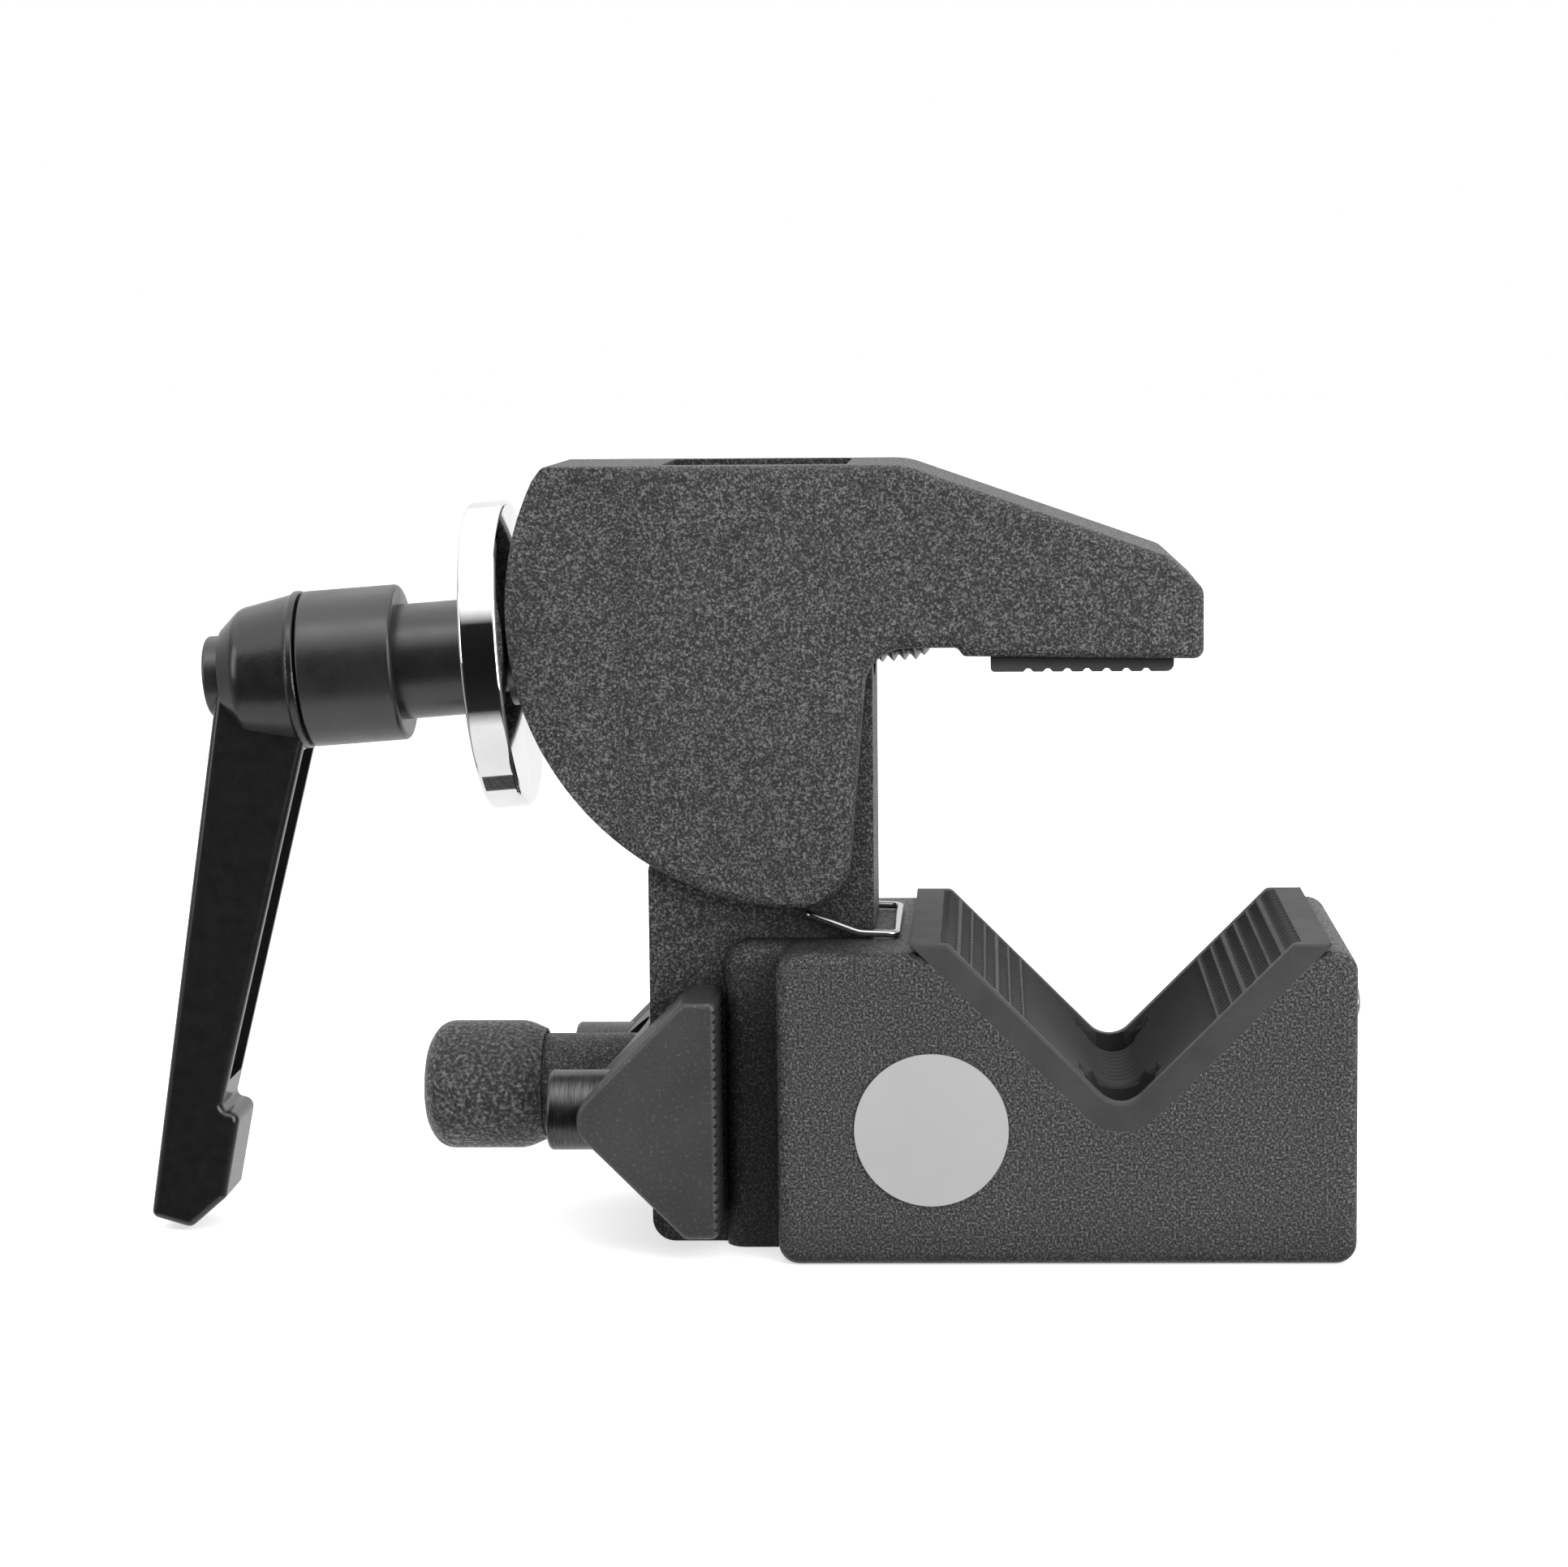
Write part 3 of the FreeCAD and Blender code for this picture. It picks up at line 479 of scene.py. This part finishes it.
def merged_prisms(name, parts):
    """One mesh piece from several (vertices, faces) lists."""
    vertices = []
    faces = []
    for part_vertices, part_faces in parts:
        start = len(vertices)
        vertices += part_vertices
        faces += [tuple(start + index for index in face) for face in part_faces]
    return mesh_piece(name, vertices, faces)


def finished(piece, slot, body, *nodes):
    """Paint a new piece, hang it on its body and let it stand for its CAD nodes."""
    paint(piece, slot)
    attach(piece, body)
    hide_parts(*nodes)
    return piece


# ---------------------------------------------------------------- V pad
def arc_corner(before, corner, after, radius, steps):
    """Points of an arc of the given radius, tangent to both sides of a corner."""
    back = (before - corner).normalized()
    ahead = (after - corner).normalized()
    half = back.angle(ahead) / 2
    reach = radius / math.tan(half)
    centre = corner + (back + ahead).normalized() * (radius / math.sin(half))
    start = corner + back * reach
    end = corner + ahead * reach
    first = start - centre
    swing = first.angle_signed(end - centre)
    points = []
    for step in range(steps + 1):
        turn = Matrix.Rotation(-swing * step / steps, 2)
        points.append(centre + turn @ first)
    return points


def spaced(points, gap):
    """Extra points along straight runs so that no run is longer than the gap."""
    filled = [points[0]]
    for start, end in zip(points, points[1:]):
        count = max(1, math.ceil((end - start).length / gap))
        filled += [start.lerp(end, step / count) for step in range(1, count + 1)]
    return filled


def tread_outline(top):
    """Upper outline of the pad from left to right: flat top, slope, valley, slope, flat top."""
    left = Vector((VEE_CENTRE - VEE_HALF_OUTSIDE, top))
    right = Vector((VEE_CENTRE + VEE_HALF_OUTSIDE, top))
    left_lip = Vector((VEE_CENTRE - VEE_HALF_INSIDE, top))
    right_lip = Vector((VEE_CENTRE + VEE_HALF_INSIDE, top))
    valley = Vector((VEE_CENTRE, top - VEE_HALF_INSIDE))
    points = [left]
    points += arc_corner(left, left_lip, valley, VEE_TOP_ROUND, LIP_STEPS)
    points += arc_corner(left_lip, valley, right_lip, VEE_INNER_ROUND, VALLEY_STEPS)
    points += arc_corner(valley, right_lip, right, VEE_TOP_ROUND, LIP_STEPS)
    points.append(right)
    return spaced(points, OUTLINE_STEP)


def outward(points):
    """Unit normals of an open outline that runs from left to right, on its upper side."""
    normals = []
    for index in range(len(points)):
        before = points[max(index - 1, 0)]
        after = points[min(index + 1, len(points) - 1)]
        run = (after - before).normalized()
        normals.append(Vector((-run.y, run.x)))
    return normals


def tread_rows(points):
    """For each point of the outline, how deep the grooves are there, from 0 to 1."""
    bands = [ROW_FIRST + row * ROW_PITCH for row in range(ROW_BANDS)]
    shares = []
    for point in points:
        from_lip = VEE_HALF_INSIDE - abs(point.x - VEE_CENTRE)
        down = from_lip * math.sqrt(2)
        on_top = from_lip < -TREAD_START
        in_band = any(abs(down - band) < BAND_WIDTH / 2 for band in bands)
        shares.append(0.0 if on_top or in_band else 1.0)
    return shares


def tread_stations():
    """(y, groove share) across the jaw: bevelled edges, marked None, and grooves between them."""
    half = TREAD_RIDGES * TREAD_PITCH / 2
    stations = [(-JAW_HALF_WIDTH, None), (-JAW_HALF_WIDTH + EDGE_BEVEL, 0.0)]
    for step in range(TREAD_RIDGES * TREAD_STEPS + 1):
        phase = (step % TREAD_STEPS) / TREAD_STEPS
        wave = 0.5 - 0.5 * math.cos(2 * math.pi * phase)
        stations.append((-half + step * TREAD_PITCH / TREAD_STEPS, min(1.0, TREAD_FULLNESS * wave)))
    stations += [(JAW_HALF_WIDTH - EDGE_BEVEL, 0.0), (JAW_HALF_WIDTH, None)]
    return stations


def resampled(points, count):
    """The same run of points as a given number of points, evenly spaced along it."""
    lengths = [(end - start).length for start, end in zip(points, points[1:])]
    total = sum(lengths)
    result = []
    for step in range(count):
        left = total * step / (count - 1)
        index = 0
        while index < len(lengths) - 1 and left > lengths[index]:
            left -= lengths[index]
            index += 1
        result.append(points[index].lerp(points[index + 1], min(1.0, left / lengths[index])))
    return result


def tread_faces(rings, count):
    """Faces of a run of rings that hold an upper outline and the inner points of a lower one."""
    size = 2 * count - 2
    faces = rings_to_faces(rings, size, closed_ends=False)
    for start, turn in ((0, 1), ((rings - 1) * size, -1)):
        for index in range(count - 1):
            below = (size - index) % size
            corners = [index, index + 1, size - index - 1, below]
            if index == count - 2:
                corners = [index, index + 1, below]
            if index == 0:
                corners = [0, 1, size - 1]
            ordered = corners if turn > 0 else corners[::-1]
            faces.append(tuple(start + corner for corner in ordered))
    return faces


def make_v_pad():
    """Rubber liner with grooved tread on both slopes and through the valley."""
    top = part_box("v_pad")[1].z / MM
    upper = tread_outline(top)
    normals = outward(upper)
    rows = tread_rows(upper)
    root = Vector((VEE_CENTRE, top - VEE_HALF_OUTSIDE))
    bend = arc_corner(upper[0], root, upper[-1], VEE_OUTER_ROUND, VALLEY_STEPS)
    under = [upper[0]] + bend + [upper[-1]]
    lower = resampled(under, len(upper))[1:-1][::-1]
    vertices = []
    stations = tread_stations()
    for y, share in stations:
        for index, point in enumerate(upper):
            is_end = index in (0, len(upper) - 1)
            if share is None:
                drop = 0.0 if is_end else EDGE_BEVEL
            else:
                drop = TREAD_DEPTH * share * rows[index]
            moved = point - normals[index] * drop
            vertices.append((moved.x, y, moved.y))
        vertices += [(point.x, y, point.y) for point in lower]
    blank = mesh_piece("v_pad_blank", vertices, tread_faces(len(stations), len(upper)))
    holes = []
    for side in (-1, 1):
        holes.append(cylinder_part(VEE_CENTRE, side * PEG_Y, PEG_HOLE_RADIUS, PEG_CUT_LOW, PEG_CUT_HIGH))
    cutter = merged_prisms("v_pad_holes", holes)
    piece = carved("v_pad_tread", blank, [cutter], 38.0)
    bpy.data.objects.remove(blank)
    return finished(piece, "grip_rubber", "base", "v_pad")


def cylinder_part(x, y, radius, low, high, count=40):
    """Vertices and faces of an upright cylinder."""
    angles = [2 * math.pi * index / count for index in range(count)]
    ring = [(x + radius * math.cos(angle), y + radius * math.sin(angle)) for angle in angles]
    vertices = [(*point, height) for height in (low, high) for point in ring]
    return vertices, rings_to_faces(2, count)


# ---------------------------------------------------------------- clamp screw
def screw_place():
    """Unit vectors along the screw and square to it, in the plane of the jaws."""
    along = Vector((math.cos(SCREW_TILT), 0, math.sin(SCREW_TILT)))
    rise = Vector((-along.z, 0, along.x))
    return along, rise


def thread_drop(along, angle):
    """Depth of the helical groove at a place along the screw and an angle round it."""
    phase = (along / THREAD_PITCH - angle / (2 * math.pi)) % 1.0
    if phase < FLANK_END:
        return THREAD_DEPTH * phase / FLANK_END
    if phase < ROOT_END:
        return THREAD_DEPTH
    if phase < RISE_END:
        return THREAD_DEPTH * (RISE_END - phase) / FLANK_END
    return 0.0


def screw_stations():
    """(place along the screw, radius before the thread is cut) for each ring of vertices."""
    stations = [(JOURNAL_START, JOURNAL_RADIUS), (JOURNAL_END, JOURNAL_RADIUS),
                (SHOULDER, THREAD_RADIUS), (THREAD_START, THREAD_RADIUS)]
    count = int((THREAD_END - THREAD_START) / THREAD_PITCH * RINGS_PER_PITCH)
    for step in range(1, count + 1):
        stations.append((THREAD_START + step * THREAD_PITCH / RINGS_PER_PITCH, THREAD_RADIUS))
    return stations


def make_clamp_screw():
    """Journal, runout and helical thread, with a chamfered end."""
    face = Vector(SCREW_FACE)
    along, rise = screw_place()
    side = Vector((0, 1, 0))
    stations = screw_stations()
    vertices = []
    for place, radius in stations:
        fade = min(1.0, max(0.0, (place - THREAD_START) / THREAD_PITCH))
        chamfer = max(0.0, place - (THREAD_END - THREAD_CHAMFER))
        for step in range(RING_POINTS):
            angle = 2 * math.pi * step / RING_POINTS
            reach = min(radius - thread_drop(place, angle) * fade, radius - chamfer)
            point = face + along * place + (rise * math.cos(angle) - side * math.sin(angle)) * reach
            vertices.append(tuple(point))
    faces = rings_to_faces(len(stations), RING_POINTS)
    piece = mesh_piece("clamp_screw_thread", vertices, faces, 32.0)
    return finished(piece, "dark_steel", "screw", "clamp_screw")


# ---------------------------------------------------------------- wedge
def serrations(front, bottom, top):
    """Grooves across the flat face, evenly spaced about its middle height."""
    count = int((top - bottom - SERRATION_MARGIN) / SERRATION_PITCH)
    first = (top + bottom) / 2 - SERRATION_PITCH * (count - 1) / 2
    grooves = []
    for index in range(count):
        z = first + index * SERRATION_PITCH
        outline = [
            (front + CUT_OVER, z - SERRATION_MOUTH),
            (front + CUT_OVER, z + SERRATION_MOUTH),
            (front - SERRATION_DEPTH, z + SERRATION_ROOT),
            (front - SERRATION_DEPTH, z - SERRATION_ROOT),
        ]
        grooves.append(prism(outline, -SERRATION_REACH, SERRATION_REACH))
    return grooves


def slope_groove(tip, middle, sign, y):
    """A shallow V groove down one slope of the wedge, at a distance across it."""
    down = Vector((1, 0, sign)).normalized()
    out = Vector((-1, 0, sign)).normalized()
    corner = Vector((tip, 0, middle))
    reach = RIB_HALF * RIB_SPREAD
    vertices = []
    for run in (RIB_START, RIB_END):
        base = corner + down * run
        vertices.append(tuple(base + out * CUT_OVER + Vector((0, y - reach, 0))))
        vertices.append(tuple(base + out * CUT_OVER + Vector((0, y + reach, 0))))
        vertices.append(tuple(base - out * RIB_DEPTH + Vector((0, y, 0))))
    faces = rings_to_faces(2, 3)
    if sign > 0:
        faces = [tuple(reversed(face)) for face in faces]
    return vertices, faces


def slope_grooves(tip, middle):
    """Grooves down both slopes, on both sides of the middle plane."""
    grooves = []
    for sign in (-1, 1):
        for index in range(RIB_COUNT):
            for side in (-1, 1):
                grooves.append(slope_groove(tip, middle, sign, side * (RIB_FIRST + index * RIB_PITCH)))
    return grooves


def make_wedge():
    """Wedge with fine serrations on its flat face and ribs down its two slopes."""
    low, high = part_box("wedge_insert")
    front = high.x / MM
    bottom = low.z / MM
    top = high.z / MM
    cutters = [
        merged_prisms("wedge_serrations", serrations(front, bottom, top)),
        merged_prisms("wedge_ribs", slope_grooves(front - WEDGE_DEPTH, (top + bottom) / 2)),
    ]
    piece = carved("wedge_ribbed", NODES["wedge_insert"], cutters)
    return finished(piece, "wedge_plastic", "wedge", "wedge_insert")


# ---------------------------------------------------------------- build
SLOT_OF_NODE = {
    "base_casting": "cast_coat",
    "end_pins": "bright_steel",
    "round_label": "label_film",
    "pivot_pin": "dark_steel",
    "retaining_wire": "bright_steel",
    "thread_bush": "bush_brass",
    "upper_jaw": "cast_coat",
    "upper_jaw_pad": "grip_rubber",
    "thrust_disc": "disc_chrome",
    "screw_collar": "black_steel",
    "disc_clip": "dark_steel",
    "hub_sleeve": "black_steel",
    "lever_arm": "lever_coat",
    "lever_screw": "black_steel",
    "lever_spring": "bright_steel",
    "lock_tip": "bush_brass",
    "lock_screw": "dark_steel",
    "lock_knob": "knob_coat",
    "wedge_pegs": "peg_steel",
}
for name, slot in SLOT_OF_NODE.items():
    paint(NODES[name], slot)

make_v_pad()
make_clamp_screw()
make_wedge()


# ---------------------------------------------------------------- camera
def make_camera():
    """Camera in front of the clamp, a little above it, with a small lens shift for the framing."""
    level = math.cos(CAMERA_PITCH)
    ahead = Vector((-math.sin(CAMERA_YAW) * level, math.cos(CAMERA_YAW) * level, -math.sin(CAMERA_PITCH)))
    right = Vector((math.cos(CAMERA_YAW), math.sin(CAMERA_YAW), 0))
    up = right.cross(ahead)
    side = right * math.cos(CAMERA_ROLL) + up * math.sin(CAMERA_ROLL)
    top = up * math.cos(CAMERA_ROLL) - right * math.sin(CAMERA_ROLL)
    data = bpy.data.cameras.new("camera")
    data.sensor_width = CAMERA_SENSOR
    data.lens = CAMERA_LENS
    data.shift_x = CAMERA_SHIFT
    data.shift_y = CAMERA_SHIFT
    data.clip_start = 0.01
    data.clip_end = 50.0
    camera = bpy.data.objects.new("camera", data)
    bpy.context.scene.collection.objects.link(camera)
    turn = Matrix((side, top, -ahead)).transposed().to_4x4()
    camera.matrix_world = Matrix.Translation(Vector(CAMERA_PLACE) * MM) @ turn
    bpy.context.scene.camera = camera


# ---------------------------------------------------------------- floor and light
def make_floor():
    """Pale table that glows a little and is hidden from glossy rays."""
    corners = [(-1, -1), (1, -1), (1, 1), (-1, 1)]
    vertices = [(x * FLOOR_HALF, y * FLOOR_HALF, 0) for x, y in corners]
    floor = mesh_piece("floor", vertices, [(0, 1, 2, 3)])
    floor.location.z = -FLOOR_DROP * MM
    material, tree, bsdf = new_material("pale_floor", grey(0.9), 0.85)
    broad = noise(tree, coordinates(tree), 400.0, 2.0)
    tree.links.new(ramp(tree, broad, [(0.3, 0.78), (0.7, 0.80)]), bsdf.inputs["Base Color"])
    bsdf.inputs["Emission Color"].default_value = (1.0, 1.0, 1.0, 1.0)
    bsdf.inputs["Emission Strength"].default_value = FLOOR_GLOW
    floor.data.materials.append(material)
    floor.visible_glossy = False


def area_light(name, place, target, width, height, watts):
    """A soft box at a place, turned to face a target, all in metres."""
    data = bpy.data.lights.new(name, "AREA")
    data.shape = "RECTANGLE"
    data.size = width
    data.size_y = height
    data.energy = watts
    lamp = bpy.data.objects.new(name, data)
    bpy.context.scene.collection.objects.link(lamp)
    lamp.location = place
    lamp.rotation_mode = "QUATERNION"
    lamp.rotation_quaternion = (Vector(target) - Vector(place)).to_track_quat("-Z", "Y")


def studio_shade(tree):
    """Brightness by direction: dark in front, pale behind, with a bright roof and a pale table."""
    where = add_node(tree, "ShaderNodeTexCoord").outputs["Generated"]
    front = add_node(tree, "ShaderNodeVectorMath", operation="DOT_PRODUCT")
    front.inputs[1].default_value = (0.0, -1.0, 0.0)
    tree.links.new(where, front.inputs[0])
    from_back = add_node(tree, "ShaderNodeMath", operation="MULTIPLY_ADD")
    from_back.inputs[1].default_value = 0.5
    from_back.inputs[2].default_value = 0.5
    tree.links.new(front.outputs["Value"], from_back.inputs[0])
    height = add_node(tree, "ShaderNodeSeparateXYZ")
    tree.links.new(where, height.inputs["Vector"])
    depth = add_node(tree, "ShaderNodeMath", operation="MULTIPLY")
    depth.inputs[1].default_value = -1.0
    tree.links.new(height.outputs["Z"], depth.inputs[0])
    shade = ramp(tree, from_back.outputs["Value"], SIDE_STOPS)
    roof = ramp(tree, height.outputs["Z"], ROOF_STOPS)
    shade = blend(tree, "MIX", roof, shade, grey(ROOF_LIGHT))
    table = ramp(tree, depth.outputs["Value"], TABLE_STOPS)
    return blend(tree, "MIX", table, shade, grey(TABLE_LIGHT))


def make_world():
    """White surroundings for the camera, and a studio with a dark front for light and reflections."""
    world = bpy.data.worlds.new("studio")
    bpy.context.scene.world = world
    world.use_nodes = True
    tree = world.node_tree
    tree.nodes.clear()
    output = add_node(tree, "ShaderNodeOutputWorld")
    seen = add_node(tree, "ShaderNodeBackground")
    seen.inputs["Color"].default_value = (1.0, 1.0, 1.0, 1.0)
    around = add_node(tree, "ShaderNodeBackground")
    tree.links.new(studio_shade(tree), around.inputs["Color"])
    path = add_node(tree, "ShaderNodeLightPath")
    mix = add_node(tree, "ShaderNodeMixShader")
    tree.links.new(path.outputs["Is Camera Ray"], mix.inputs["Fac"])
    tree.links.new(around.outputs["Background"], mix.inputs[1])
    tree.links.new(seen.outputs["Background"], mix.inputs[2])
    tree.links.new(mix.outputs["Shader"], output.inputs["Surface"])


make_camera()
make_floor()
make_world()
for soft_box in SOFT_BOXES:
    area_light(*soft_box)
bpy.context.scene.view_settings.view_transform = "Standard"
